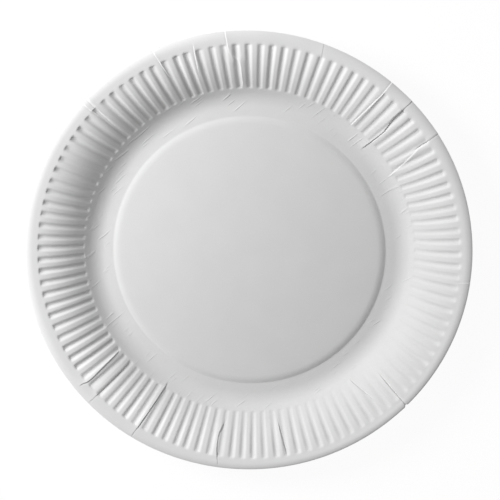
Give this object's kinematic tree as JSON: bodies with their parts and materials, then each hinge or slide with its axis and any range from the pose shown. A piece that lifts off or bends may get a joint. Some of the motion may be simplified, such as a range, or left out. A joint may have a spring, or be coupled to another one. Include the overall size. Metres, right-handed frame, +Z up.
{
  "type": "paper plate",
  "caption": "Round disposable paper plate pressed from one sheet of coated white board, with a raised flat middle, a fluted wall and a rolled-down lip.",
  "frame": {"origin": "under the plate's centre, on the plane of the flat ring that it stands on", "axes": "+Z up along the plate's axis, out of the dish; +X and +Y lie in the plane that it stands on"},
  "size_m": [0.2302, 0.2302, 0.0171],
  "materials": {
    "board": "satin"
  },
  "bodies": {
    "root": {"plate": "board"}
  },
  "joints": []
}
